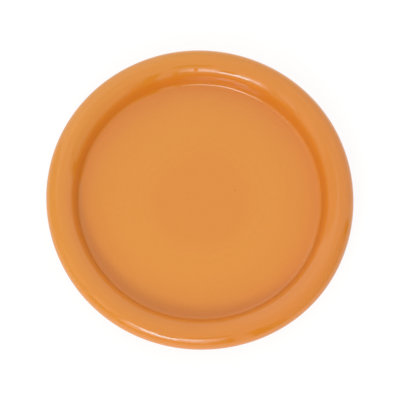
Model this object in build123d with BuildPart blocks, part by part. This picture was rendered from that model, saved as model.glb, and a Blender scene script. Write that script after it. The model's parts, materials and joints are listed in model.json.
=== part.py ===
"""Glazed earthenware plant saucer with a rolled rim, standing on four stick-on felt pads.

Millimetres, +Z up. The origin is on the saucer's axis, on the surface that it stands on.
The saucer is one turned section: a flat well, a short bowed wall and a rolled rim. The fired clay
carries a glaze of even thickness, which stops short of the bare foot ring that stood on the
kiln shelf.
"""

import os
from math import acos, cos, degrees, hypot, radians, sin

from build123d import *

# Sizes over the glaze
OUTER_DIAMETER = 180.0
WELL_DEPTH = 13.7
FLOOR_THICKNESS = 6.0
WALL_THICKNESS = 6.0

# Rolled rim: round outside, a flatter crown and a tighter shoulder inside
LIP_RADIUS = 6.9
CROWN_RADIUS = 12.1
CROWN_TURN = 33.0
SHOULDER_RADIUS = 6.2

# Inner wall: a long bow, which leans out most where it leaves the shoulder
WALL_RADIUS = 32.0
WALL_TOP_LEAN = 20.5

# Rounded corners of the section
COVE_RADIUS = 2.0
NECK_RADIUS = 2.0
BASE_RADIUS = 3.0

# Foot ring, left bare
FOOT_HEIGHT = 2.0
FOOT_WIDTH = 11.0
FOOT_INSET = 10.0
FOOT_EDGE_RADIUS = 0.6

# Glaze
GLAZE_THICKNESS = 0.5
GLAZE_MARGIN = 2.0

# Felt pads
PAD_COUNT = 4
PAD_DIAMETER = 10.0
PAD_THICKNESS = 2.0
PAD_EDGE_RADIUS = 0.4
PAD_START_ANGLE = 45.0

# Heights above the surface that the saucer stands on
foot_z = PAD_THICKNESS
base_z = foot_z + FOOT_HEIGHT
floor_z = base_z + FLOOR_THICKNESS
crest_z = floor_z + WELL_DEPTH
lip_z = crest_z - LIP_RADIUS

# The rim's crest, where the outer round meets the crown
crest_r = OUTER_DIAMETER / 2 - LIP_RADIUS

# Where the crown turns into the shoulder, the shoulder into the wall, and the wall meets the well
wall_turn = 90.0 - WALL_TOP_LEAN
crown_sin, crown_cos = sin(radians(CROWN_TURN)), cos(radians(CROWN_TURN))
wall_sin, wall_cos = sin(radians(wall_turn)), cos(radians(wall_turn))
shoulder_r = crest_r - CROWN_RADIUS * crown_sin - SHOULDER_RADIUS * (wall_sin - crown_sin)
shoulder_z = crest_z - CROWN_RADIUS * (1 - crown_cos) - SHOULDER_RADIUS * (crown_cos - wall_cos)
wall_height = shoulder_z - floor_z
cove_r = shoulder_r - WALL_RADIUS * (sin(acos(wall_cos - wall_height / WALL_RADIUS)) - wall_sin)

# The outer wall is straight, and leans as the inner one does from end to end
lean_run = (shoulder_r - cove_r) / wall_height
lean_across = hypot(1, lean_run)
base_r = cove_r + WALL_THICKNESS * lean_across - FLOOR_THICKNESS * lean_run
outer_wall_height = lip_z - base_z

# The rounds at the neck and the base share the outer wall's height
neck_radius = min(NECK_RADIUS, outer_wall_height / 4)
base_radius = min(BASE_RADIUS, outer_wall_height / 3)

# Foot ring and the two edges of the glaze
foot_outer_r = base_r - FOOT_INSET
foot_inner_r = foot_outer_r - FOOT_WIDTH
coat_edge_r = foot_outer_r + GLAZE_MARGIN
base_glaze_r = foot_inner_r - GLAZE_MARGIN
pad_circle_r = (foot_outer_r + foot_inner_r) / 2

os.makedirs("parts", exist_ok=True)


def turned_section(depth):
    """Draws the section right of the axis, with every face at one depth under the glaze's face."""
    well_z = floor_z - depth
    under_z = base_z + depth
    wall_drop = shoulder_z - depth * wall_cos - well_z
    cove_turn = degrees(acos(wall_cos - wall_drop / (WALL_RADIUS - depth)))
    under_r = base_r + depth * (lean_run - lean_across)
    inside_lip_r = under_r + (lip_z - under_z) * lean_run
    with BuildSketch(Plane.XZ) as section:
        with BuildLine():
            crown = JernArc((crest_r, crest_z - depth), (-1, 0), CROWN_RADIUS - depth, CROWN_TURN)
            shoulder = JernArc(crown @ 1, crown % 1, SHOULDER_RADIUS - depth, wall_turn - CROWN_TURN)
            wall = JernArc(shoulder @ 1, shoulder % 1, WALL_RADIUS - depth, cove_turn - wall_turn)
            Polyline(
                wall @ 1,
                (0, well_z),
                (0, under_z),
                (under_r, under_z),
                (inside_lip_r, lip_z),
                crown @ 0,
            )
        make_face()
        with Locations((crest_r, lip_z)):
            Circle(LIP_RADIUS - depth)
        corners = section.vertices()
        fillet(corners.sort_by_distance((inside_lip_r, lip_z - LIP_RADIUS))[0], neck_radius + depth)
        fillet(section.vertices().sort_by_distance(wall @ 1)[0], COVE_RADIUS + depth)
        fillet(section.vertices().sort_by_distance((under_r, under_z))[0], base_radius - depth)
    return section.sketch_local


# The section over the glaze and the one under it
glaze_face = turned_section(0.0)
clay_face = turned_section(GLAZE_THICKNESS)

# Fired clay: the section under the glaze, with the foot ring standing below it
with BuildPart() as clay_body:
    with BuildSketch(Plane.XZ):
        add(clay_face)
    revolve(axis=Axis.Z)
    with BuildSketch(Plane.XY.offset(foot_z)):
        Circle(foot_outer_r)
        Circle(foot_inner_r, mode=Mode.SUBTRACT)
    extrude(amount=FOOT_HEIGHT + GLAZE_THICKNESS)
    foot_face = clay_body.faces().sort_by(Axis.Z)[0]
    fillet(foot_face.edges(), FOOT_EDGE_RADIUS)
clay_body.part.label = "clay_body"
export_step(clay_body.part, "parts/clay_body.step")

# Glaze over the well, the rim and the outer wall, as far as the bare strip beside the foot
with BuildPart() as glaze_coat:
    with BuildSketch(Plane.XZ):
        add(glaze_face)
        add(clay_face, mode=Mode.SUBTRACT)
        with Locations((0, base_z)):
            Rectangle(2 * coat_edge_r, FLOOR_THICKNESS, mode=Mode.SUBTRACT)
    revolve(axis=Axis.Z)
glaze_coat.part.label = "glaze_coat"
export_step(glaze_coat.part, "parts/glaze_coat.step")

# Glaze inside the foot ring
with BuildPart() as base_glaze:
    with BuildSketch(Plane.XY.offset(base_z)):
        Circle(base_glaze_r)
    extrude(amount=GLAZE_THICKNESS)
base_glaze.part.label = "base_glaze"
export_step(base_glaze.part, "parts/base_glaze.step")

# Felt pads, stuck to the middle of the foot ring
for number in range(1, PAD_COUNT + 1):
    angle = radians(PAD_START_ANGLE + (number - 1) * 360.0 / PAD_COUNT)
    pad_plane = Plane(origin=(pad_circle_r * cos(angle), pad_circle_r * sin(angle), 0))
    with BuildPart() as felt_pad:
        with BuildSketch(pad_plane):
            Circle(PAD_DIAMETER / 2)
        extrude(amount=PAD_THICKNESS)
        fillet(felt_pad.edges().group_by(Axis.Z)[0], PAD_EDGE_RADIUS)
    felt_pad.part.label = f"felt_pad_{number}"
    export_step(felt_pad.part, f"parts/felt_pad_{number}.step")
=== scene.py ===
"""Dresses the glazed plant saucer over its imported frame, lights it and sets the camera.

The turned pieces are sections swept round the saucer's axis by one Geometry Nodes tree, which also
gives them the slightly uneven form of hand-finished earthenware. Metres, +Z up.
"""

import json
import logging
import math
from dataclasses import dataclass
from enum import Enum
from typing import Mapping, Optional, Sequence, Union

import bpy
from mathutils import Matrix, Vector


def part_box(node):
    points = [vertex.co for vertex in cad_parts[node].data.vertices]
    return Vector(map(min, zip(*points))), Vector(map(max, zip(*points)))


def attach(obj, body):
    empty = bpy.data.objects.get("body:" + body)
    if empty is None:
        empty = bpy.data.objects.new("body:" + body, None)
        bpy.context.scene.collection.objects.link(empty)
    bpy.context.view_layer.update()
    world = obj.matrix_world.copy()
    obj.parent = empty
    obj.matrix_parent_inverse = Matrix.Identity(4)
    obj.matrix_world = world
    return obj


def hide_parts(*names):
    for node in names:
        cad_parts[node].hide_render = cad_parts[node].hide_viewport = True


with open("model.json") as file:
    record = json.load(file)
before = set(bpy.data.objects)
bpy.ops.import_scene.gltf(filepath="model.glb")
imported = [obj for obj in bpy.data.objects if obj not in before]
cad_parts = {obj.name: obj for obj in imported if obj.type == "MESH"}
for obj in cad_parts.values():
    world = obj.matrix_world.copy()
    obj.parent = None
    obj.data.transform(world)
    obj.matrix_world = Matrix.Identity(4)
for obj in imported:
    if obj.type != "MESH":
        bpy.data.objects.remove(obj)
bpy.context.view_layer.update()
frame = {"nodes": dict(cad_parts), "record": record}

LOG = logging.getLogger("plant_saucer")
MM = 0.001
BODY = "root"
PICTURE_SIDE = 400

Socket = bpy.types.NodeSocket
Colour = tuple[float, float, float]
Range = tuple[float, float]
InputKey = Union[str, int]

WHITE: Colour = (1.0, 1.0, 1.0)


class Slot(Enum):
    """The record's material slots."""

    GLAZE = "glaze"
    CLAY = "clay"
    FELT = "felt"


class Side(Enum):
    """Which way a bend of a section goes, seen along the walk."""

    LEFT = 1.0
    RIGHT = -1.0


class NodeBoard:
    """Places the nodes of one tree and links them."""

    def __init__(self, tree: bpy.types.NodeTree) -> None:
        """Keeps the tree that the nodes go into."""
        self.tree = tree

    def add(
        self, kind: str, inputs: Optional[Mapping[InputKey, object]] = None, **options: object
    ) -> bpy.types.Node:
        """Adds a node.

        Args:
            kind: the node's type.
            inputs: an output socket to link, or a value to set, for each input by name or place.
            **options: the node's own options, such as its operation.

        Returns:
            The new node.
        """
        node = self.tree.nodes.new(kind)
        for name, value in options.items():
            setattr(node, name, value)
        for key, value in (inputs or {}).items():
            if isinstance(value, Socket):
                self.link(value, node.inputs[key])
            else:
                node.inputs[key].default_value = value
        return node

    def link(self, output: Socket, target: Socket) -> None:
        """Links an output to an input."""
        self.tree.links.new(output, target)

    def math(self, operation: str, *values: object) -> Socket:
        """Adds a number sum and returns its result."""
        return self.add("ShaderNodeMath", dict(enumerate(values)), operation=operation).outputs[0]

    def whole(self, operation: str, *values: object) -> Socket:
        """Adds a sum of whole numbers and returns its result."""
        node = self.add("FunctionNodeIntegerMath", dict(enumerate(values)), operation=operation)
        return node.outputs[0]

    def vector(self, operation: str, *values: object) -> Socket:
        """Adds a vector sum and returns its vector."""
        node = self.add("ShaderNodeVectorMath", dict(enumerate(values)), operation=operation)
        return node.outputs["Vector"]

    def scaled(self, vector: Socket, scale: object) -> Socket:
        """Returns a vector times a number."""
        node = self.add("ShaderNodeVectorMath", {0: vector, "Scale": scale}, operation="SCALE")
        return node.outputs["Vector"]

    def length(self, vector: Socket) -> Socket:
        """Returns a vector's length."""
        return self.add("ShaderNodeVectorMath", {0: vector}, operation="LENGTH").outputs["Value"]

    def parts(self, vector: Socket) -> bpy.types.NodeOutputs:
        """Returns the X, Y and Z of a vector."""
        return self.add("ShaderNodeSeparateXYZ", {0: vector}).outputs

    def joined(self, x: object, y: object, z: object) -> Socket:
        """Returns a vector made of three numbers."""
        return self.add("ShaderNodeCombineXYZ", {0: x, 1: y, 2: z}).outputs[0]

    def place(self) -> Socket:
        """Returns the place on the piece, in the piece's own coordinates."""
        return self.add("ShaderNodeTexCoord").outputs["Object"]

    def noise(self, vector: Socket, scale: object, detail: float = 2.0, w: object = 0.0) -> Socket:
        """Returns noise from 0 to 1, with lumps to the metre as its scale; another w gives another draw."""
        inputs = {"Vector": vector, "W": w, "Scale": scale, "Detail": detail}
        return self.add("ShaderNodeTexNoise", inputs, noise_dimensions="4D").outputs[0]

    def bands(self, place: Socket, width: float) -> Socket:
        """Returns noise from 0 to 1 along one measure, in bands of about a width."""
        inputs = {"W": place, "Scale": 1 / width, "Detail": 2.0}
        return self.add("ShaderNodeTexNoise", inputs, noise_dimensions="1D").outputs[0]

    def ramp(self, value: Socket, start: float, end: float, low: float = 0.0, high: float = 1.0) -> Socket:
        """Maps a value smoothly, so that start and what lies before it give low, and end gives high."""
        inputs = {"Value": value, "From Min": start, "From Max": end, "To Min": low, "To Max": high}
        return self.add("ShaderNodeMapRange", inputs, interpolation_type="SMOOTHSTEP").outputs[0]

    def tint(self, factor: object, first: object, second: object, way: str = "MIX") -> Socket:
        """Blends two colours, or their sockets, with the second one's share as the factor."""
        inputs = {0: factor, 6: opaque(first), 7: opaque(second)}
        return self.add("ShaderNodeMix", inputs, data_type="RGBA", blend_type=way).outputs[2]

    def bump(self, height: Socket, distance: float, normal: Optional[Socket] = None) -> Socket:
        """Adds relief.

        Args:
            height: the relief from 0 to 1.
            distance: the height in metres that 1 stands for.
            normal: the relief that this one lies on.

        Returns:
            The new normal.
        """
        inputs: dict[InputKey, object] = {"Height": height, "Distance": distance}
        if normal is not None:
            inputs["Normal"] = normal
        return self.add("ShaderNodeBump", inputs).outputs["Normal"]


def opaque(colour: object) -> object:
    """Returns a colour with an alpha of one, or a socket as it is."""
    return colour if isinstance(colour, Socket) else (*colour, 1.0)


class PieceTree(NodeBoard):
    """A Geometry Nodes tree with named inputs, which ends in plain geometry with a material."""

    def __init__(self, name: str, inputs: Mapping[str, str]) -> None:
        """Makes the tree's inputs.

        Args:
            name: the tree's name.
            inputs: the socket type of each named input.
        """
        super().__init__(bpy.data.node_groups.new(name, "GeometryNodeTree"))
        face = self.tree.interface
        face.new_socket("Geometry", in_out="INPUT", socket_type="NodeSocketGeometry")
        self.sockets = {
            label: face.new_socket(label, in_out="INPUT", socket_type=kind).identifier
            for label, kind in {**inputs, "Material": "NodeSocketMaterial"}.items()
        }
        face.new_socket("Geometry", in_out="OUTPUT", socket_type="NodeSocketGeometry")
        self.given = self.add("NodeGroupInput").outputs

    def position(self) -> Socket:
        """Returns where each point is."""
        return self.add("GeometryNodeInputPosition").outputs[0]

    def normal(self) -> Socket:
        """Returns which way each point faces."""
        return self.add("GeometryNodeInputNormal").outputs[0]

    def named(self, label: str) -> Socket:
        """Returns a number that each point carries under a name."""
        return self.add("GeometryNodeInputNamedAttribute", {"Name": label}, data_type="FLOAT").outputs[0]

    def without(self, geometry: Socket, label: str) -> Socket:
        """Returns the geometry without a number that its points carried."""
        return self.add("GeometryNodeRemoveAttribute", {"Geometry": geometry, "Name": label}).outputs[0]

    def end(self, geometry: Socket) -> None:
        """Realizes what was made, gives it its material and sends it out.

        Args:
            geometry: what the tree made.
        """
        smooth = self.add("GeometryNodeSetShadeSmooth", {0: geometry}).outputs[0]
        plain = self.add("GeometryNodeRealizeInstances", {0: smooth}).outputs[0]
        inputs = {"Geometry": plain, "Material": self.given["Material"]}
        dressed = self.add("GeometryNodeSetMaterial", inputs).outputs[0]
        self.add("NodeGroupOutput", {0: dressed})

    def make(self, name: str, source: bpy.types.Mesh, values: Mapping[str, object]) -> bpy.types.Object:
        """Runs the tree on a mesh and keeps the result as a plain mesh.

        Args:
            name: the new piece's name.
            source: the mesh that the tree starts from.
            values: the value of each named input.

        Returns:
            The piece, in the scene.
        """
        piece = bpy.data.objects.new(name, source)
        bpy.context.scene.collection.objects.link(piece)
        modifier = piece.modifiers.new(self.tree.name, "NODES")
        modifier.node_group = self.tree
        for label, value in values.items():
            modifier[self.sockets[label]] = value
        depsgraph = bpy.context.evaluated_depsgraph_get()
        mesh = bpy.data.meshes.new_from_object(piece.evaluated_get(depsgraph))
        piece.modifiers.clear()
        piece.data = mesh
        mesh.name = name
        bpy.data.meshes.remove(source)
        return piece


@dataclass(frozen=True)
class SectionPoint:
    """A point of a section, with the way the section runs there and how free its skin is."""

    r: float
    z: float
    heading: float
    skin: float = 1.0
    edge: float = 0.0

    def sunk(self, depth: float) -> "SectionPoint":
        """Returns the point moved square to the section, into the piece."""
        turn = math.radians(self.heading)
        return SectionPoint(
            self.r + depth * math.sin(turn), self.z - depth * math.cos(turn), self.heading, 0.0, self.edge
        )


class SectionWalk:
    """Walks along a section with the piece on its right hand and leaves points behind.

    A heading of 0 points away from the axis, and one of 90 points up.
    """

    STRIDE = 2.2 * MM
    BEND_STEP = 6.0

    def __init__(self, r: float, z: float, heading: float = 0.0) -> None:
        """Starts at a radius and a height."""
        self.points = [SectionPoint(r, z, heading)]

    def straight(self, length: float) -> None:
        """Walks on in a straight line.

        Args:
            length: how far it goes.
        """
        start = self.points[-1]
        turn = math.radians(start.heading)
        count = max(1, math.ceil(length / self.STRIDE))
        for step in range(1, count + 1):
            way = length * step / count
            self.points.append(
                SectionPoint(start.r + way * math.cos(turn), start.z + way * math.sin(turn), start.heading)
            )

    def bend(self, radius: float, turn: float, side: Side) -> None:
        """Walks round a bend.

        Args:
            radius: the bend's radius.
            turn: how far it goes round, in degrees.
            side: the side that it turns to.
        """
        start = self.points[-1]
        square = math.radians(start.heading + 90.0 * side.value)
        centre_r = start.r + radius * math.cos(square)
        centre_z = start.z + radius * math.sin(square)
        count = max(2, math.ceil(turn / self.BEND_STEP))
        for step in range(1, count + 1):
            heading = start.heading + side.value * turn * step / count
            out = math.radians(heading - 90.0 * side.value)
            self.points.append(
                SectionPoint(centre_r + radius * math.cos(out), centre_z + radius * math.sin(out), heading)
            )


def section_mesh(name: str, points: Sequence[SectionPoint]) -> bpy.types.Mesh:
    """Makes a section into loose points with their weights.

    Args:
        name: the mesh's name.
        points: the section, in order.

    Returns:
        The mesh, in the plane of X and Z.
    """
    mesh = bpy.data.meshes.new(name + "_section")
    mesh.from_pydata([(point.r, 0.0, point.z) for point in points], [], [])
    for label in ("skin", "edge"):
        weights = mesh.attributes.new(label, "FLOAT", "POINT")
        weights.data.foreach_set("value", [getattr(point, label) for point in points])
    return mesh


@dataclass(frozen=True)
class Lobe:
    """One term of the rim's departure from a true circle."""

    count: int
    height: float
    azimuth: float


class TurnedTree(PieceTree):
    """Turns a section round the axis, with the unevenness of a piece finished by hand."""

    INPUTS = {
        "Steps Around": "NodeSocketInt",
        "Centre": "NodeSocketVector",
        "Full Radius": "NodeSocketFloat",
        "Out Of Round": "NodeSocketFloat",
        "Unevenness": "NodeSocketFloat",
        "Lumps": "NodeSocketFloat",
        "Edge Wander": "NodeSocketFloat",
        "Wander Lumps": "NodeSocketFloat",
        "Seed": "NodeSocketFloat",
    }
    WELD = 0.002 * MM

    def __init__(self, lobes: Sequence[Lobe]) -> None:
        """Builds the tree.

        Args:
            lobes: the terms of the out-of-round.
        """
        super().__init__("turned_form", self.INPUTS)
        section, steps = self.given["Geometry"], self.given["Steps Around"]
        count = self.add("GeometryNodeAttributeDomainSize", {0: section}).outputs["Point Count"]
        across = self.whole("ADD", steps, 1)
        grid = self.add("GeometryNodeMeshGrid", {"Vertices X": count, "Vertices Y": across}).outputs["Mesh"]
        index = self.add("GeometryNodeInputIndex").outputs[0]
        self.row = self.whole("DIVIDE_FLOOR", index, across)
        column = self.whole("MODULO", index, across)
        angle = self.math("DIVIDE", self.math("MULTIPLY", column, math.tau), steps)
        ray = self.joined(self.math("COSINE", angle), self.math("SINE", angle), 0.0)
        r, _, z = self.parts(self.on_section("FLOAT_VECTOR", self.position()))
        radius = self.math("ADD", r, self.out_of_round(angle, r, lobes))
        radius = self.math("ADD", radius, self.edge_wander(ray))
        point = self.vector("ADD", self.scaled(ray, radius), self.joined(0.0, 0.0, z))
        point = self.vector("ADD", point, self.given["Centre"])
        turned = self.add("GeometryNodeSetPosition", {"Geometry": grid, "Position": point}).outputs[0]
        self.end(self.uneven(turned))

    def on_section(self, kind: str, value: Socket) -> Socket:
        """Reads a value of the section at the point that this vertex comes from."""
        inputs = {"Geometry": self.given["Geometry"], "Value": value, "Index": self.row}
        return self.add("GeometryNodeSampleIndex", inputs, data_type=kind).outputs[0]

    def weight(self, label: str) -> Socket:
        """Reads one of the section's weights."""
        return self.on_section("FLOAT", self.named(label))

    def out_of_round(self, angle: Socket, r: Socket, lobes: Sequence[Lobe]) -> Socket:
        """Adds the lobes up.

        Args:
            angle: the way round, in radians.
            r: the section's radius.
            lobes: the terms.

        Returns:
            The change of radius, full at the rim and nothing at the axis.
        """
        total: object = 0.0
        for lobe in lobes:
            turned = self.math("SUBTRACT", angle, math.radians(lobe.azimuth))
            wave = self.math("COSINE", self.math("MULTIPLY", turned, float(lobe.count)))
            total = self.math("ADD", total, self.math("MULTIPLY", wave, lobe.height))
        share = self.math("DIVIDE", r, self.given["Full Radius"])
        return self.math("MULTIPLY", self.math("MULTIPLY", total, share), self.given["Out Of Round"])

    def edge_wander(self, ray: Socket) -> Socket:
        """Lets the edge of a coat stray in and out on its way round.

        Args:
            ray: the way out from the axis.

        Returns:
            The change of radius.
        """
        drift = self.noise(ray, self.given["Wander Lumps"], w=self.given["Seed"])
        swing = self.math("MULTIPLY", self.math("SUBTRACT", drift, 0.5), self.given["Edge Wander"])
        return self.math("MULTIPLY", swing, self.weight("edge"))

    def uneven(self, turned: Socket) -> Socket:
        """Closes the seam and the poles and sinks the skin a little here and there.

        Args:
            turned: the plain turned form.

        Returns:
            The finished form.
        """
        inputs = {"Geometry": turned, "Name": "skin", "Value": self.weight("skin")}
        kept = self.add("GeometryNodeStoreNamedAttribute", inputs, data_type="FLOAT").outputs[0]
        closed = self.add("GeometryNodeMergeByDistance", {"Geometry": kept, "Distance": self.WELD}).outputs[0]
        sag = self.noise(self.position(), self.given["Lumps"], detail=1.0, w=self.given["Seed"])
        depth = self.math("MULTIPLY", sag, self.given["Unevenness"])
        depth = self.math("MULTIPLY", depth, self.named("skin"))
        offset = self.scaled(self.normal(), self.math("MULTIPLY", depth, -1.0))
        sunk = self.add("GeometryNodeSetPosition", {"Geometry": closed, "Offset": offset}).outputs[0]
        return self.without(sunk, "skin")


class FuzzTree(PieceTree):
    """Sets loose fibres on the side and underside of a felt pad."""

    INPUTS = {
        "Fibres To Area": "NodeSocketFloat",
        "Fibre Length": "NodeSocketFloat",
        "Fibre Width": "NodeSocketFloat",
        "Floor Height": "NodeSocketFloat",
        "Seed": "NodeSocketInt",
    }
    SIDES = 3
    BENDS = 2
    TIP = 0.3
    LEAN = 1.1
    SHORTEST = 0.5
    LONGEST = 1.3
    FACES_UP = 0.5

    def __init__(self) -> None:
        """Builds the tree."""
        super().__init__("felt_fuzz", self.INPUTS)
        pad = self.given["Geometry"]
        facing = {0: self.parts(self.normal())["Z"], 1: self.FACES_UP}
        open_side = self.add("FunctionNodeCompare", facing, operation="LESS_THAN").outputs[0]
        spread = {
            "Mesh": pad,
            "Selection": open_side,
            "Density": self.given["Fibres To Area"],
            "Seed": self.given["Seed"],
        }
        points = self.add("GeometryNodeDistributePointsOnFaces", spread).outputs
        width = self.given["Fibre Width"]
        cone = {
            "Vertices": self.SIDES,
            "Side Segments": self.BENDS,
            "Radius Top": self.math("MULTIPLY", width, self.TIP),
            "Radius Bottom": width,
            "Depth": self.given["Fibre Length"],
        }
        fibre = self.add("GeometryNodeMeshCone", cone).outputs["Mesh"]
        lean = self.random_vector(-self.LEAN, self.LEAN)
        turns = {0: points["Rotation"], 1: self.add("FunctionNodeEulerToRotation", {0: lean}).outputs[0]}
        inputs = {
            "Points": points["Points"],
            "Instance": fibre,
            "Rotation": self.add("FunctionNodeRotateRotation", turns, rotation_space="LOCAL").outputs[0],
            "Scale": self.random_vector(self.SHORTEST, self.LONGEST),
        }
        instances = self.add("GeometryNodeInstanceOnPoints", inputs).outputs[0]
        fuzz = self.add("GeometryNodeRealizeInstances", {0: instances}).outputs[0]
        x, y, z = self.parts(self.position())
        lifted = self.joined(x, y, self.math("MAXIMUM", z, self.given["Floor Height"]))
        clear = self.add("GeometryNodeSetPosition", {"Geometry": fuzz, "Position": lifted}).outputs[0]
        whole = self.add("GeometryNodeJoinGeometry")
        for part in (clear, pad):
            self.link(part, whole.inputs[0])
        self.end(whole.outputs[0])

    def random_vector(self, low: float, high: float) -> Socket:
        """Returns a random vector with each part between two values."""
        inputs = {0: (low,) * 3, 1: (high,) * 3, "Seed": self.given["Seed"]}
        return self.add("FunctionNodeRandomValue", inputs, data_type="FLOAT_VECTOR").outputs[0]


class SpeckTree(PieceTree):
    """Sets flat specks of uneven size on the glaze, under given points."""

    INPUTS = {
        "Glaze": "NodeSocketObject",
        "Speck Size": "NodeSocketFloat",
        "Reach": "NodeSocketFloat",
        "Seed": "NodeSocketInt",
    }
    FLATNESS = 0.12
    SEGMENTS = 10
    RINGS = 5
    UNEVEN = 0.05

    def __init__(self) -> None:
        """Builds the tree."""
        super().__init__("glaze_specks", self.INPUTS)
        glaze = self.add("GeometryNodeObjectInfo", {0: self.given["Glaze"]}).outputs["Geometry"]
        ray = {
            "Target Geometry": glaze,
            "Ray Direction": (0.0, 0.0, -1.0),
            "Ray Length": self.given["Reach"],
        }
        hit = self.add("GeometryNodeRaycast", ray).outputs
        inputs = {"Geometry": self.given["Geometry"], "Position": hit["Hit Position"]}
        chosen = self.add("GeometryNodeSetPosition", inputs).outputs[0]
        points = self.add("GeometryNodeMeshToPoints", {0: chosen}).outputs[0]
        ball = {"Segments": self.SEGMENTS, "Rings": self.RINGS, "Radius": self.given["Speck Size"]}
        speck = self.add("GeometryNodeMeshUVSphere", ball).outputs["Mesh"]
        size = {2: 1.0 - self.UNEVEN, 3: 1.0 + self.UNEVEN, "Seed": self.given["Seed"]}
        draw = self.add("FunctionNodeRandomValue", size, data_type="FLOAT").outputs[1]
        scale = self.math("MULTIPLY", self.named("share"), draw)
        inputs = {
            "Points": points,
            "Instance": speck,
            "Scale": self.joined(scale, scale, self.FLATNESS),
        }
        self.end(self.without(self.add("GeometryNodeInstanceOnPoints", inputs).outputs[0], "share"))


def new_material(name: str) -> tuple[bpy.types.Material, NodeBoard, bpy.types.Node]:
    """Starts a node material.

    Args:
        name: the material's name.

    Returns:
        The material, its board and its shader.
    """
    material = bpy.data.materials.new(name)
    material.use_nodes = True
    board = NodeBoard(material.node_tree)
    return material, board, material.node_tree.nodes["Principled BSDF"]


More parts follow.
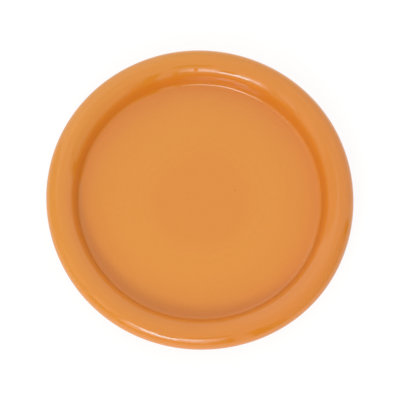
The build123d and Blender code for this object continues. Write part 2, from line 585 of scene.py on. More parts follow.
@dataclass(frozen=True)
class GlazeFinish:
    """Glossy orange glaze: a yellower ring round the well, fine mottling and a gently rippled skin, with
    painted light and shade in its colour.

    The tints go from the axis outwards, each with its radius. Besides the yellower ring, they paint shade: a
    pinker, darker ring at the wall's foot, a redder wall in the colour of its shade, and a darker crown. A
    painted sheen also leaves the rim redder towards the front right than towards the back left.
    """

    name: str = "orange_glaze"
    # The stops from 35 to 46 mm are the glaze's yellower ring. The stop at 67 mm is painted shade at the
    # wall's foot. The stops at 72 and 76 mm paint the wall in the redder colour of its shade. The stop at 80
    # mm is painted shade on the crown.
    tints_with_painted_light: tuple[tuple[float, Colour], ...] = (
        (0.0 * MM, (0.746, 0.258, 0.0205)),
        (24.0 * MM, (0.746, 0.258, 0.0205)),
        (35.0 * MM, (0.756, 0.277, 0.0215)),
        (46.0 * MM, (0.756, 0.277, 0.0215)),
        (60.0 * MM, (0.746, 0.265, 0.0205)),
        (67.0 * MM, (0.742, 0.250, 0.0205)),
        (72.0 * MM, (0.758, 0.243, 0.0215)),
        (76.0 * MM, (0.753, 0.252, 0.0215)),
        (80.0 * MM, (0.728, 0.257, 0.0205)),
        (90.0 * MM, (0.748, 0.277, 0.0210)),
    )
    deep: Colour = (0.700, 0.225, 0.0165)
    # Painted light: this colour is multiplied into the rim towards the front right. It stands for the weaker
    # reflected light there than at the back left.
    side_shade_tint: Colour = (0.97, 0.84, 0.89)
    lit_side_way: float = 145.0
    side_shade_reach: float = 80.0 * MM
    rim_start: float = 73.0 * MM
    rim_full: float = 86.0 * MM
    well_side_shade: float = 0.2
    cloud: float = 26.0 * MM
    cloud_range: Range = (0.25, 0.75)
    smear_range: Range = (0.40, 0.85)
    mottle: float = 1.4 * MM
    mottle_range: Range = (0.48, 0.78)
    mottle_share: float = 0.30
    ring: float = 2.4 * MM
    ring_range: Range = (0.50, 0.75)
    ring_share: float = 0.12
    ripple: float = 9.0 * MM
    ripple_height: float = 0.01 * MM
    peel: float = 1.3 * MM
    peel_height: float = 0.0015 * MM
    gloss: float = 0.06
    dullest: float = 0.10
    ior: float = 1.62
    scuff_x: float = -2.4 * MM
    scuff_half: float = 1.3 * MM
    scuff_start: float = 75.3 * MM
    scuff_end: float = 77.9 * MM
    scuff_low: float = 15.0 * MM
    scuff_edge: float = 1.0 * MM
    scuff_dullness: float = 0.9

    def material(self) -> bpy.types.Material:
        """Builds the glaze's nodes.

        Returns:
            The material.
        """
        material, board, shader = new_material(self.name)
        place = board.place()
        x, y, z = board.parts(place)
        drift = board.noise(place, 1 / self.cloud, detail=3.0)
        radius = board.length(board.joined(x, y, 0.0))
        radius = board.math("ADD", radius, board.ramp(drift, *self.cloud_range, -self.ring, self.ring))
        # Painted light: the rim is made redder towards the front right, and the well slightly.
        side_shade = self.painted_side_shade(board, x, y, radius)
        colour = board.tint(side_shade, self.tinted_with_painted_light(board, radius), self.side_shade_tint, "MULTIPLY")
        fine = board.noise(place, 1 / self.mottle, detail=3.0, w=2.0)
        mottling = board.ramp(fine, *self.mottle_range, 0.0, self.mottle_share)
        rings = board.ramp(board.bands(radius, self.ring), *self.ring_range)
        for share in (mottling, board.math("MULTIPLY", rings, self.ring_share)):
            colour = board.tint(share, colour, self.deep)
        board.link(colour, shader.inputs["Base Color"])
        smear = board.noise(place, 1 / self.cloud, detail=3.0, w=5.0)
        roughness = board.ramp(smear, *self.smear_range, self.gloss, self.dullest)
        scuff = board.math("MULTIPLY", self.scuffed(board, x, y, z), self.scuff_dullness)
        board.link(board.math("MAXIMUM", roughness, scuff), shader.inputs["Roughness"])
        ripples = board.bump(board.noise(place, 1 / self.ripple, detail=1.0, w=7.0), self.ripple_height)
        peel = board.bump(board.noise(place, 1 / self.peel, detail=1.0, w=9.0), self.peel_height, ripples)
        board.link(peel, shader.inputs["Normal"])
        shader.inputs["IOR"].default_value = self.ior
        return material

    def tinted_with_painted_light(self, board: NodeBoard, radius: Socket) -> Socket:
        """Tints the glaze by radius: its yellower ring, and painted shade at the wall's foot, on the wall and
        on the crown.

        Args:
            board: the material's board.
            radius: the distance from the axis.

        Returns:
            The colour at that radius.
        """
        reach = self.tints_with_painted_light[-1][0]
        node = board.add("ShaderNodeValToRGB", {"Fac": board.math("DIVIDE", radius, reach)})
        stops = node.color_ramp.elements
        stops.remove(stops[-1])
        for place, (radius_there, colour) in enumerate(self.tints_with_painted_light):
            stop = stops.new(radius_there / reach) if place else stops[0]
            stop.color = opaque(colour)
        return node.outputs["Color"]

    def painted_side_shade(self, board: NodeBoard, x: Socket, y: Socket, radius: Socket) -> Socket:
        """Finds the painted side shade: the glaze is left redder towards the front right than towards the
        back left, where it reflects more light, most of all on the rim.

        Args:
            board: the material's board.
            x: the place to the right.
            y: the place towards the back.
            radius: the distance from the axis.

        Returns:
            How much painted side shade there is, from 0 to 1.
        """
        way = math.radians(self.lit_side_way)
        along = board.math("MULTIPLY", x, math.cos(way))
        along = board.math("ADD", along, board.math("MULTIPLY", y, math.sin(way)))
        side = board.ramp(along, self.side_shade_reach, -self.side_shade_reach)
        on_rim = board.ramp(radius, self.rim_start, self.rim_full, self.well_side_shade, 1.0)
        return board.math("MULTIPLY", side, on_rim)

    def scuffed(self, board: NodeBoard, x: Socket, y: Socket, z: Socket) -> Socket:
        """Finds the short dull scuff across the shoulder at the back.

        Args:
            board: the material's board.
            x: the place to the right.
            y: the place towards the back.
            z: the height.

        Returns:
            How scuffed the glaze is, from 0 to 1.
        """
        middle, reach = (self.scuff_start + self.scuff_end) / 2, (self.scuff_end - self.scuff_start) / 2
        soft = self.scuff_edge / 2
        mark = board.ramp(z, self.scuff_low - soft, self.scuff_low + soft)
        for place, centre, half in ((x, self.scuff_x, self.scuff_half), (y, middle, reach)):
            off = board.math("ABSOLUTE", board.math("SUBTRACT", place, centre))
            mark = board.math("MULTIPLY", mark, board.ramp(off, half + soft, half - soft))
        return mark


@dataclass(frozen=True)
class ClayFinish:
    """Bare fired earthenware: buff, dull and gritty, with turning marks."""

    name: str = "bare_clay"
    body: Colour = (0.46, 0.235, 0.125)
    pale: Colour = (0.60, 0.36, 0.22)
    dark: Colour = (0.24, 0.105, 0.05)
    patch: float = 14.0 * MM
    patch_range: Range = (0.35, 0.68)
    grit: float = 0.55 * MM
    dark_range: Range = (0.60, 0.74)
    dark_share: float = 0.7
    pale_range: Range = (0.38, 0.25)
    pale_share: float = 0.5
    groove: float = 1.1 * MM
    groove_height: float = 0.06 * MM
    grit_height: float = 0.04 * MM
    dull_range: Range = (0.3, 0.7)
    dullness: Range = (0.78, 0.95)

    def material(self) -> bpy.types.Material:
        """Builds the clay's nodes.

        Returns:
            The material.
        """
        material, board, shader = new_material(self.name)
        place = board.place()
        patches = board.noise(place, 1 / self.patch, detail=5.0)
        colour = board.tint(board.ramp(patches, *self.patch_range), self.body, self.pale)
        grit = board.noise(place, 1 / self.grit, detail=3.0, w=2.0)
        colour = board.tint(board.ramp(grit, *self.dark_range, 0.0, self.dark_share), colour, self.dark)
        colour = board.tint(board.ramp(grit, *self.pale_range, 0.0, self.pale_share), colour, self.pale)
        board.link(colour, shader.inputs["Base Color"])
        x, y, _ = board.parts(place)
        grooves = board.bands(board.length(board.joined(x, y, 0.0)), self.groove)
        relief = board.bump(grooves, self.groove_height)
        board.link(board.bump(grit, self.grit_height, relief), shader.inputs["Normal"])
        board.link(board.ramp(patches, *self.dull_range, *self.dullness), shader.inputs["Roughness"])
        return material


@dataclass(frozen=True)
class FeltFinish:
    """Pressed wool felt: mixed grey-brown fibres with a soft sheen."""

    name: str = "pressed_felt"
    body: Colour = (0.105, 0.078, 0.060)
    pale: Colour = (0.210, 0.165, 0.130)
    dark: Colour = (0.045, 0.033, 0.026)
    tuft: float = 1.4 * MM
    tuft_range: Range = (0.35, 0.65)
    fibre: float = 0.16 * MM
    fibre_range: Range = (0.50, 0.72)
    fibre_height: float = 0.08 * MM
    dull_range: Range = (0.3, 0.7)
    dullness: Range = (0.88, 1.0)
    sheen: float = 0.35

    def material(self) -> bpy.types.Material:
        """Builds the felt's nodes.

        Returns:
            The material.
        """
        material, board, shader = new_material(self.name)
        place = board.place()
        tufts = board.noise(place, 1 / self.tuft, detail=4.0)
        fibres = board.noise(place, 1 / self.fibre, detail=4.0, w=3.0)
        colour = board.tint(board.ramp(tufts, *self.tuft_range), self.dark, self.body)
        colour = board.tint(board.ramp(fibres, *self.fibre_range), colour, self.pale)
        board.link(colour, shader.inputs["Base Color"])
        board.link(board.bump(fibres, self.fibre_height), shader.inputs["Normal"])
        board.link(board.ramp(tufts, *self.dull_range, *self.dullness), shader.inputs["Roughness"])
        shader.inputs["Sheen Weight"].default_value = self.sheen
        return material


@dataclass(frozen=True)
class SpeckFinish:
    """Iron specks in the glaze, dark with a rusty heart, or, in pale tints, painted glints of reflected
    light.
    """

    name: str = "glaze_speck"
    heart: Colour = (0.30, 0.075, 0.012)
    rim: Colour = (0.42, 0.12, 0.016)
    grain: float = 0.3 * MM
    grain_range: Range = (0.35, 0.65)
    roughness: float = 0.25

    def material(self) -> bpy.types.Material:
        """Builds the specks' nodes.

        Returns:
            The material.
        """
        material, board, shader = new_material(self.name)
        grains = board.noise(board.place(), 1 / self.grain, detail=3.0)
        colour = board.tint(board.ramp(grains, *self.grain_range), self.heart, self.rim)
        board.link(colour, shader.inputs["Base Color"])
        shader.inputs["Roughness"].default_value = self.roughness
        return material


@dataclass(frozen=True)
class FloorFinish:
    """Matt white floor, which shows white to the camera and keeps the soft shadow."""

    name: str = "white_floor"
    body: Colour = (0.92, 0.92, 0.92)
    shown: Colour = (0.20, 0.20, 0.20)
    lift: float = 0.84

    def material(self) -> bpy.types.Material:
        """Builds the floor's nodes.

        Returns:
            The material.
        """
        material, board, shader = new_material(self.name)
        shader.inputs["Base Color"].default_value = opaque(self.body)
        shader.inputs["Roughness"].default_value = 1.0
        shader.inputs["Specular IOR Level"].default_value = 0.0
        pale = board.add("ShaderNodeBsdfDiffuse", {"Color": opaque(self.shown)})
        glow = board.add("ShaderNodeEmission", {"Color": opaque(WHITE), "Strength": self.lift})
        bright = board.add("ShaderNodeAddShader", {0: pale.outputs[0], 1: glow.outputs[0]})
        path = board.add("ShaderNodeLightPath").outputs
        seen = board.math("MAXIMUM", path["Is Camera Ray"], path["Is Glossy Ray"])
        seen = board.math("MAXIMUM", seen, path["Is Transmission Ray"])
        mixed = board.add("ShaderNodeMixShader", {0: seen, 1: shader.outputs[0], 2: bright.outputs[0]})
        board.link(mixed.outputs[0], board.tree.nodes["Material Output"].inputs["Surface"])
        return material


def seat(piece: bpy.types.Object, slot: Slot, *nodes: str) -> None:
    """Ties a piece to the frame and reports it.

    Args:
        piece: the finished piece.
        slot: the record's slot of its finish.
        *nodes: the CAD nodes that it stands for.
    """
    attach(piece, BODY)
    if nodes:
        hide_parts(*nodes)
    faces = len(piece.data.polygons)
    LOG.info("%s: %d faces, finish %s, stands for %s", piece.name, faces, slot.value, nodes or "nothing")


@dataclass
class SaucerSection:
    """The saucer's section over the glaze, from the frame's heights and the rim's own radii."""

    outer_r: float
    crest_z: float
    floor_z: float
    base_z: float
    foot_z: float
    glaze: float
    wall: float = 6.5 * MM
    lip: float = 7.4 * MM
    crown: float = 12.1 * MM
    crown_turn: float = 33.0
    shoulder: float = 6.2 * MM
    bow: float = 32.0 * MM
    top_lean: float = 20.5
    cove: float = 2.8 * MM
    neck: float = 2.0 * MM
    base: float = 3.0 * MM
    foot_width: float = 11.0 * MM
    foot_inset: float = 10.0 * MM
    foot_edge: float = 0.6 * MM
    foot_root: float = 0.5 * MM
    glaze_margin: float = 2.0 * MM

    def __post_init__(self) -> None:
        """Works out the places that the walks need."""
        crown, steep = math.radians(self.crown_turn), math.radians(self.steepness)
        self.lip_z = self.crest_z - self.lip
        self.crest_r = self.outer_r - self.lip
        across = self.crown * math.sin(crown) + self.shoulder * (math.sin(steep) - math.sin(crown))
        drop = self.crown * (1 - math.cos(crown)) + self.shoulder * (math.cos(crown) - math.cos(steep))
        wall_top = Vector((self.crest_r - across, self.crest_z - drop))
        self.bow_centre = wall_top + self.bow * Vector((math.sin(steep), -math.cos(steep)))
        height = wall_top.y - self.floor_z
        low_steep = math.acos(math.cos(steep) - height / self.bow)
        corner_r = wall_top.x - self.bow * (math.sin(low_steep) - math.sin(steep))
        lean_run = (wall_top.x - corner_r) / height
        self.lean = math.degrees(math.atan(lean_run))
        thickness = self.floor_z - self.base_z
        self.base_r = corner_r + self.wall * math.hypot(1.0, lean_run) - thickness * lean_run
        self.foot_outer_r = self.base_r - self.foot_inset

    @property
    def steepness(self) -> float:
        """Returns the slope of the inner wall's top above level, in degrees."""
        return 90.0 - self.top_lean

    def over_glaze(self) -> SectionWalk:
        """Walks from the axis over the well, the rim and the outer wall to the base.

        Returns:
            The walk, at the edge of the round under the outer wall.
        """
        cove_r, cove_turn = self.cove_round()
        lip_turn = self.lip_turn()
        slope = math.radians(90.0 - self.lean)
        walk = SectionWalk(0.0, self.floor_z)
        walk.straight(cove_r)
        walk.bend(self.cove, cove_turn, Side.LEFT)
        walk.bend(self.bow, cove_turn - self.steepness, Side.RIGHT)
        walk.bend(self.shoulder, self.steepness - self.crown_turn, Side.RIGHT)
        walk.bend(self.crown, self.crown_turn, Side.RIGHT)
        walk.bend(self.lip, lip_turn, Side.RIGHT)
        walk.bend(self.neck, lip_turn - 90.0 - self.lean, Side.LEFT)
        wall_foot = self.base_z + self.base * (1 - math.cos(slope))
        walk.straight((walk.points[-1].z - wall_foot) / math.sin(slope))
        walk.bend(self.base, 90.0 - self.lean, Side.RIGHT)
        return walk

    def cove_round(self) -> tuple[float, float]:
        """Finds the hollow round between the well and the bowed wall.

        Returns:
            The radius of the saucer at its foot and how far it turns, in degrees.
        """
        rise = self.floor_z + self.cove - self.bow_centre.y
        run = math.sqrt((self.bow + self.cove) ** 2 - rise ** 2)
        return self.bow_centre.x - run, 90.0 - math.degrees(math.atan2(rise, run))

    def lip_turn(self) -> float:
        """Finds where the lip runs into the hollow round under it.

        Returns:
            How far the lip turns before that, in degrees.
        """
        lean = math.radians(self.lean)
        up_wall = Vector((math.sin(lean), math.cos(lean)))
        out = Vector((math.cos(lean), -math.sin(lean)))
        lip_centre = Vector((self.crest_r, self.lip_z))
        aside = self.neck - (lip_centre - Vector((self.base_r, self.base_z))).dot(out)
        down = math.sqrt((self.lip + self.neck) ** 2 - aside ** 2)
        ray = out * aside - up_wall * down
        return 90.0 - math.degrees(math.atan2(ray.y, ray.x))


@dataclass(frozen=True)
class Speck:
    """A speck or a painted glint in the well: how far right and back it lies, and its share of full size."""

    x: float
    y: float
    share: float


@dataclass
class GlazedSkin:
    """The glaze: the coat over well, rim and wall, the disc under the base, and specks and painted glints in
    it.
    """

    section: SaucerSection
    turned: TurnedTree
    base_r: float
    steps: int = 360
    unevenness: float = 0.10 * MM
    lump: float = 24.0 * MM
    edge_wander: float = 0.9 * MM
    edge_reach: float = 5.0 * MM
    wander_lumps: float = 3.0
    seed: float = 4.0
    back_step: int = 3
    speck_size: float = 0.30 * MM
    speck_seed: int = 11
    speck_start: float = 2.0 * MM
    speck_finish: SpeckFinish = SpeckFinish()
    dark_specks: tuple[Speck, ...] = (
        Speck(20.7 * MM, 5.9 * MM, 1.00),
        Speck(-7.7 * MM, 0.3 * MM, 0.74),
        Speck(-24.5 * MM, 16.8 * MM, 0.50),
        Speck(-16.9 * MM, 61.2 * MM, 0.60),
        Speck(-24.7 * MM, 59.3 * MM, 0.54),
        Speck(47.4 * MM, 20.4 * MM, 0.56),
    )
    # Painted glints: pale specks that stand for small bright points of reflected light on the glaze.
    painted_glint_finish: SpeckFinish = SpeckFinish("glaze_bubble", (0.80, 0.52, 0.30), (0.92, 0.78, 0.62))
    painted_glints: tuple[Speck, ...] = (
        Speck(40.8 * MM, -18.3 * MM, 0.64),
        Speck(49.3 * MM, 50.8 * MM, 0.62),
        Speck(52.0 * MM, 47.7 * MM, 0.80),
    )

    def build(self, material: bpy.types.Material) -> None:
        """Makes the coat, the base's disc, the specks and the painted glints, and seats them.

        Args:
            material: the glaze.
        """
        coat = self.turn("glaze_coat_skin", self.coat_section(), material)
        seat(coat, Slot.GLAZE, "glaze_coat")
        seat(self.turn("base_glaze_skin", self.disc_section(), material), Slot.GLAZE, "base_glaze")
        seat(self.scatter("glaze_specks", self.dark_specks, coat, self.speck_finish), Slot.GLAZE)
        seat(self.scatter("glaze_bubbles", self.painted_glints, coat, self.painted_glint_finish), Slot.GLAZE)

    def turn(
        self, name: str, points: Sequence[SectionPoint], material: bpy.types.Material
    ) -> bpy.types.Object:
        """Turns one of the glaze's sections.

        Args:
            name: the piece's name.
            points: the section.
            material: the glaze.

        Returns:
            The piece.
        """
        values = {
            "Steps Around": self.steps,
            "Full Radius": self.section.outer_r,
            "Out Of Round": 1.0,
            "Unevenness": self.unevenness,
            "Lumps": 1 / self.lump,
            "Edge Wander": self.edge_wander,
            "Wander Lumps": self.wander_lumps,
            "Seed": self.seed,
            "Material": material,
        }
        return self.turned.make(name, section_mesh(name, points), values)

    def coat_section(self) -> list[SectionPoint]:
        """Draws the coat's section.

        Returns:
            The closed section: its face, its rolled edge and its back.
        """
        edge_r = self.section.foot_outer_r + self.section.glaze_margin
        walk = self.section.over_glaze()
        walk.straight(walk.points[-1].r - edge_r - self.section.glaze / 2)
        face = self.with_edge(walk.points, edge_r)
        walk.bend(self.section.glaze / 2, 180.0, Side.RIGHT)
        roll = self.with_edge(walk.points[len(face):-1], edge_r)
        back = [point.sunk(self.section.glaze) for point in reversed(face[:: self.back_step])]
        return face + roll + back

    def disc_section(self) -> list[SectionPoint]:
        """Draws the section of the disc of glaze inside the foot ring.

        Returns:
            The closed section.
        """
        roll = self.section.glaze / 2
        walk = SectionWalk(0.0, self.section.base_z + self.section.glaze)
        walk.straight(self.base_r - roll)
        walk.bend(roll, 180.0, Side.RIGHT)
        walk.straight(walk.points[-1].r)
        return self.with_edge(walk.points, self.base_r)

    def with_edge(self, points: Sequence[SectionPoint], edge_r: float) -> list[SectionPoint]:
        """Gives the points near the coat's edge under the base their share in its wander.

        Args:
            points: part of a section.
            edge_r: the edge's radius.

        Returns:
            The same points with their weights.
        """
        marked = []
        for point in points:
            under = point.z < self.section.base_z + 2 * self.section.glaze
            share = max(0.0, 1.0 - abs(point.r - edge_r) / self.edge_reach) if under else 0.0
            marked.append(SectionPoint(point.r, point.z, point.heading, point.skin, share))
        return marked

    def scatter(
        self, name: str, specks: Sequence[Speck], coat: bpy.types.Object, finish: SpeckFinish
    ) -> bpy.types.Object:
        """Sets specks in the glaze.

        Args:
            name: the piece's name.
            specks: where they lie and how large they are.
            coat: the glaze that they lie in.
            finish: their finish.

        Returns:
            The specks, as one piece.
        """
        source = bpy.data.meshes.new(name + "_places")
        height = self.section.crest_z + self.speck_start
        source.from_pydata([(speck.x, speck.y, height) for speck in specks], [], [])
        shares = source.attributes.new("share", "FLOAT", "POINT")
        shares.data.foreach_set("value", [speck.share for speck in specks])
        values = {
            "Glaze": coat,
            "Speck Size": self.speck_size,
            "Reach": self.section.crest_z,
            "Seed": self.speck_seed,
            "Material": finish.material(),
        }
        return SpeckTree().make(name, source, values)


@dataclass
class ClayBody:
    """The fired clay: it shows only at the foot ring and the bare strips beside it."""

    section: SaucerSection
    turned: TurnedTree
    steps: int = 256
    unevenness: float = 0.05 * MM
    lump: float = 6.0 * MM
    seed: float = 9.0

    def build(self, material: bpy.types.Material) -> None:
        """Turns the clay's section and seats it.

        Args:
            material: the bare clay.
        """
        values = {
            "Steps Around": self.steps,
            "Full Radius": self.section.outer_r,
            "Out Of Round": 1.0,
            "Unevenness": self.unevenness,
            "Lumps": 1 / self.lump,
            "Seed": self.seed,
            "Material": material,
        }
        mesh = section_mesh("clay", self.clay_section())
        seat(self.turned.make("clay_body_bare", mesh, values), Slot.CLAY, "clay_body")

    def clay_section(self) -> list[SectionPoint]:
        """Draws the clay's section.

        Returns:
            The section, under the glaze and round the foot ring to the axis.
        """
        part = self.section
        hidden = [point.sunk(part.glaze) for point in part.over_glaze().points]
        walk = SectionWalk(hidden[-1].r, hidden[-1].z, hidden[-1].heading)
        rise = hidden[-1].z - part.foot_z - part.foot_root - part.foot_edge
        walk.straight(hidden[-1].r - part.foot_outer_r - part.foot_root)
        walk.bend(part.foot_root, 90.0, Side.LEFT)
        walk.straight(rise)
        walk.bend(part.foot_edge, 90.0, Side.RIGHT)
        walk.straight(part.foot_width - 2 * part.foot_edge)
        walk.bend(part.foot_edge, 90.0, Side.RIGHT)
        walk.straight(rise)
        walk.bend(part.foot_root, 90.0, Side.LEFT)
        walk.straight(walk.points[-1].r)
        return hidden + walk.points[1:]


@dataclass
class FeltPads:
    """The stick-on felt pads under the foot ring."""

    turned: TurnedTree
    names: Sequence[str]
    steps: int = 72
    top_edge: float = 0.2 * MM
    low_edge: float = 0.45 * MM
    clear: float = 0.03 * MM
    unevenness: float = 0.08 * MM
    lump: float = 1.2 * MM
    fibres_to_area: float = 3.2e6
    fibre_length: float = 0.5 * MM
    fibre_width: float = 0.012 * MM
    seed: float = 20.0
    fill: float = 1.0

    def build(self, material: bpy.types.Material) -> None:
        """Makes each pad in its CAD pad's place, with its fuzz, and seats it.

        Args:
            material: the felt.
        """
        fuzz = FuzzTree()
        for number, node in enumerate(self.names):
            plain = self.disc(node, number, material)
            values = {
                "Fibres To Area": self.fibres_to_area,
                "Fibre Length": self.fibre_length,
                "Fibre Width": self.fibre_width,
                "Floor Height": self.clear,
                "Seed": number,
                "Material": material,
            }
            disc_mesh = plain.data
            bpy.data.objects.remove(plain)
            pad = fuzz.make(node + "_felt", disc_mesh, values)
            seat(pad, Slot.FELT, node)

    def disc(self, node: str, number: int, material: bpy.types.Material) -> bpy.types.Object:
        """Turns one pad.

        Args:
            node: the CAD pad that it replaces.
            number: its place in the row of pads.
            material: the felt.

        Returns:
            The pad without its fuzz.
        """
        low, high = (Vector(corner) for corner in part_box(node))
        radius = (high.x - low.x) / 2 - 2 * self.clear
        walk = SectionWalk(0.0, high.z)
        walk.straight(radius - self.top_edge)
        walk.bend(self.top_edge, 90.0, Side.RIGHT)
        walk.straight(high.z - low.z - self.clear - self.top_edge - self.low_edge)
        walk.bend(self.low_edge, 90.0, Side.RIGHT)
        walk.straight(walk.points[-1].r)
        middle = (low + high) / 2
        values = {
            "Steps Around": self.steps,
            "Centre": (middle.x, middle.y, 0.0),
            "Full Radius": radius,
            "Unevenness": self.unevenness,
            "Lumps": 1 / self.lump,
            "Seed": self.seed + number,
            "Material": material,
        }
        return self.turned.make("plain_pad", section_mesh(node, walk.points), values)


@dataclass(frozen=True)
class StripLamp:
    """A flat soft lamp, placed by where it stands in the sky over the saucer, as a patch is."""

    name: str
    azimuth: float
    half_azimuth: float
    polar: float
    half_polar: float
    radiance: float
    mirrored: bool = True
    fill: Colour = WHITE
    shine: Colour = (0.24, 0.78, 1.0)
    apart: float = 1.05

    def place(self, distance: float) -> None:
        """Puts the lamp's light in the scene, and its cooler mirror image in the glaze.

        Args:
            distance: its distance from the saucer.
        """
        plain = self.hang(self.name, self.fill, distance * self.apart)
        plain.visible_glossy = False
        if self.mirrored:
            image = self.hang(self.name + "_shine", self.shine, distance)
            image.visible_diffuse = False

    def hang(self, name: str, colour: Colour, distance: float) -> bpy.types.Object:
        """Hangs one lamp that the camera doesn't see.

        Args:
            name: the lamp's name.
            colour: its light's colour.
            distance: its distance from the saucer.

        Returns:
            The lamp, in the scene.
        """
        turn, lift = math.radians(self.azimuth), math.radians(self.polar)
        away = Vector((math.sin(lift) * math.cos(turn), math.sin(lift) * math.sin(turn), math.cos(lift)))
        lamp = bpy.data.lights.new(name, "AREA")
        lamp.color = colour
        lamp.shape = "RECTANGLE"
        lamp.size = 2 * distance * math.tan(math.radians(self.half_azimuth) * math.sin(lift))
        lamp.size_y = 2 * distance * math.tan(math.radians(self.half_polar))
        lamp.energy = self.radiance * math.pi * lamp.size * lamp.size_y
        holder = bpy.data.objects.new(name, lamp)
        along = Vector((-math.sin(turn), math.cos(turn), 0.0))
        axes = Matrix((along, away.cross(along), away)).transposed().to_4x4()
        holder.matrix_world = Matrix.Translation(away * distance) @ axes
        holder.visible_camera = False
        bpy.context.scene.collection.objects.link(holder)
        return holder


@dataclass(frozen=True)
class SkyPatch:
    """A soft-edged stretch of the surroundings that is dimmer or paler than the rest.

    Its middle and its half widths are in degrees, round the saucer and down from straight above.
    """

    azimuth: float
    half_azimuth: float
    polar: float
    half_polar: float
    share: float
    edge: float = 3.0

    def light(self, board: NodeBoard, azimuth: Socket, polar: Socket) -> Socket:
        """Finds how much of the light a direction keeps.

        Args:
            board: the board of the surroundings.
            azimuth: the direction's azimuth, in degrees.
            polar: its angle from straight up, in degrees.

        Returns:
            The share of the light, which is one outside the patch.
        """
        across = self.within(board, azimuth, self.azimuth, self.half_azimuth)
        inside = board.math("MULTIPLY", across, self.within(board, polar, self.polar, self.half_polar))
        return board.math("ADD", board.math("MULTIPLY", inside, self.share - 1.0), 1.0)

    def within(self, board: NodeBoard, angle: Socket, middle: float, half: float) -> Socket:
        """Returns 1 within a stretch of an angle and 0 outside it, with soft edges."""
        off = board.math("ABSOLUTE", board.math("SUBTRACT", angle, middle))
        return board.ramp(off, half + self.edge / 2, half - self.edge / 2)


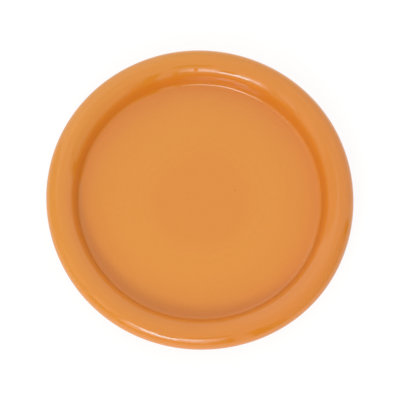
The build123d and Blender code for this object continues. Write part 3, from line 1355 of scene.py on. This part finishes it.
@dataclass
class Studio:
    """White floor, pale surroundings with dark flags in them, strip lamps and the camera."""

    tilt: float = 13.6
    distance: float = 1.1
    focal_pixels: float = 1881.0
    aim: tuple[float, float, float] = (-0.03 * MM, -1.16 * MM, 15.0 * MM)
    sensor: float = 36.0
    sky: float = 0.84
    lamp_distance: float = 1.2
    floor_half: float = 12.0
    lamps: tuple[StripLamp, ...] = (
        StripLamp("core_end", -124.0, 4.0, 44.5, 3.5, 4.5),
        StripLamp("core_left", -116.0, 4.0, 48.5, 6.5, 7.6),
        StripLamp("core_right", -106.5, 5.5, 52.0, 6.0, 8.2),
        StripLamp("side_strip", -94.9, 5.7, 46.5, 8.5, 3.3),
        StripLamp("end_strip", -83.4, 5.7, 43.5, 8.0, 1.0),
        StripLamp("front_fill", -92.0, 28.0, 70.0, 8.0, 0.45, mirrored=False),
    )
    patches: tuple[SkyPatch, ...] = (
        SkyPatch(75.0, 72.0, 57.0, 41.0, 1.12, 5.0),
        SkyPatch(124.0, 23.0, 57.0, 41.0, 1.22, 6.0),
        SkyPatch(165.0, 18.0, 59.0, 33.0, 0.78, 6.0),
        SkyPatch(-166.0, 14.0, 40.0, 24.0, 1.12, 10.0),
        SkyPatch(-168.0, 12.0, 74.0, 18.0, 0.80, 6.0),
        SkyPatch(2.0, 3.0, 78.0, 17.0, 0.12),
        SkyPatch(4.0, 4.0, 45.0, 17.0, 0.65, 4.0),
        SkyPatch(-28.0, 32.0, 47.0, 24.0, 0.80, 10.0),
        SkyPatch(-28.0, 32.0, 88.0, 16.0, 0.55, 8.0),
        SkyPatch(-53.0, 4.5, 68.0, 26.0, 0.45),
        SkyPatch(-61.5, 4.5, 64.0, 32.0, 0.10),
        SkyPatch(-76.7, 1.8, 66.0, 26.0, 0.12),
        SkyPatch(-83.0, 4.0, 74.0, 17.0, 0.45),
        SkyPatch(-107.0, 24.0, 51.0, 16.5, 2.20, 6.0),
        SkyPatch(-107.5, 5.5, 40.0, 5.0, 0.12),
        SkyPatch(-108.0, 20.0, 80.0, 9.0, 0.58),
        SkyPatch(-85.0, 14.0, 21.0, 5.0, 0.25, 4.0),
        SkyPatch(-128.7, 1.8, 77.0, 14.0, 0.35),
        SkyPatch(-135.0, 4.0, 62.0, 22.0, 0.65),
        SkyPatch(-145.5, 5.5, 42.0, 12.0, 1.40),
        SkyPatch(-144.0, 5.0, 72.0, 16.0, 0.45),
        SkyPatch(-153.5, 1.8, 60.0, 17.0, 0.55),
    )

    def build(self) -> None:
        """Sets the stage: floor, surroundings, lamps and camera."""
        bpy.context.scene.view_settings.view_transform = "Standard"
        self.floor()
        self.surroundings()
        for lamp in self.lamps:
            lamp.place(self.lamp_distance)
        self.camera()

    def floor(self) -> None:
        """Lays the floor that the saucer stands on."""
        half = self.floor_half
        mesh = bpy.data.meshes.new("floor")
        corners = [(-half, -half, 0), (half, -half, 0), (half, half, 0), (-half, half, 0)]
        mesh.from_pydata(corners, [], [(0, 1, 2, 3)])
        mesh.materials.append(FloorFinish().material())
        floor = bpy.data.objects.new("floor", mesh)
        bpy.context.scene.collection.objects.link(floor)

    def surroundings(self) -> None:
        """Makes the pale surroundings, with their dimmer and paler patches."""
        world = bpy.data.worlds.new("surroundings")
        bpy.context.scene.world = world
        world.use_nodes = True
        board = NodeBoard(world.node_tree)
        x, y, z = board.parts(board.add("ShaderNodeTexCoord").outputs["Generated"])
        azimuth = board.math("DEGREES", board.math("ARCTAN2", y, x))
        polar = board.math("DEGREES", board.math("ARCCOSINE", z))
        level: object = self.sky
        for patch in self.patches:
            level = board.math("MULTIPLY", patch.light(board, azimuth, polar), level)
        background = world.node_tree.nodes["Background"]
        background.inputs["Color"].default_value = opaque(WHITE)
        board.link(level, background.inputs["Strength"])

    def camera(self) -> None:
        """Sets the camera in front of the saucer, looking steeply down at it."""
        data = bpy.data.cameras.new("camera")
        data.sensor_width = self.sensor
        data.lens = self.sensor * self.focal_pixels / PICTURE_SIDE
        camera = bpy.data.objects.new("camera", data)
        bpy.context.scene.collection.objects.link(camera)
        tilt = math.radians(self.tilt)
        camera.location = Vector(self.aim) + Vector((0.0, -math.sin(tilt), math.cos(tilt))) * self.distance
        camera.rotation_euler = (tilt, 0.0, 0.0)
        bpy.context.scene.camera = camera


# How far the rim strays from a true circle
OUT_OF_ROUND = (
    Lobe(2, 0.42 * MM, -45.0),
    Lobe(3, 0.09 * MM, -57.0),
    Lobe(4, 0.15 * MM, -42.0),
    Lobe(5, 0.08 * MM, 26.0),
)


def saucer_section() -> SaucerSection:
    """Reads the section's heights and its outer radius from the frame.

    Returns:
        The section.
    """
    coat_low, coat_high = (Vector(corner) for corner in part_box("glaze_coat"))
    disc_low, disc_high = (Vector(corner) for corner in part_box("base_glaze"))
    seat_mount = next(mount for mount in frame["record"]["mounts"] if mount["name"] == "pot_seat")
    return SaucerSection(
        outer_r=coat_high.x,
        crest_z=coat_high.z,
        floor_z=seat_mount["pos_m"][2],
        base_z=coat_low.z,
        foot_z=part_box("clay_body")[0][2],
        glaze=disc_high.z - disc_low.z,
    )


def main() -> None:
    """Builds the saucer's pieces in order, then the studio."""
    logging.basicConfig(level=logging.INFO, format="%(name)s: %(message)s")
    section = saucer_section()
    turned = TurnedTree(OUT_OF_ROUND)
    base_r = Vector(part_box("base_glaze")[1]).x
    GlazedSkin(section, turned, base_r).build(GlazeFinish().material())
    ClayBody(section, turned).build(ClayFinish().material())
    pads = sorted(name for name in frame["nodes"] if name.startswith("felt_pad"))
    FeltPads(turned, pads).build(FeltFinish().material())
    Studio().build()


if __name__ == "__main__":
    main()
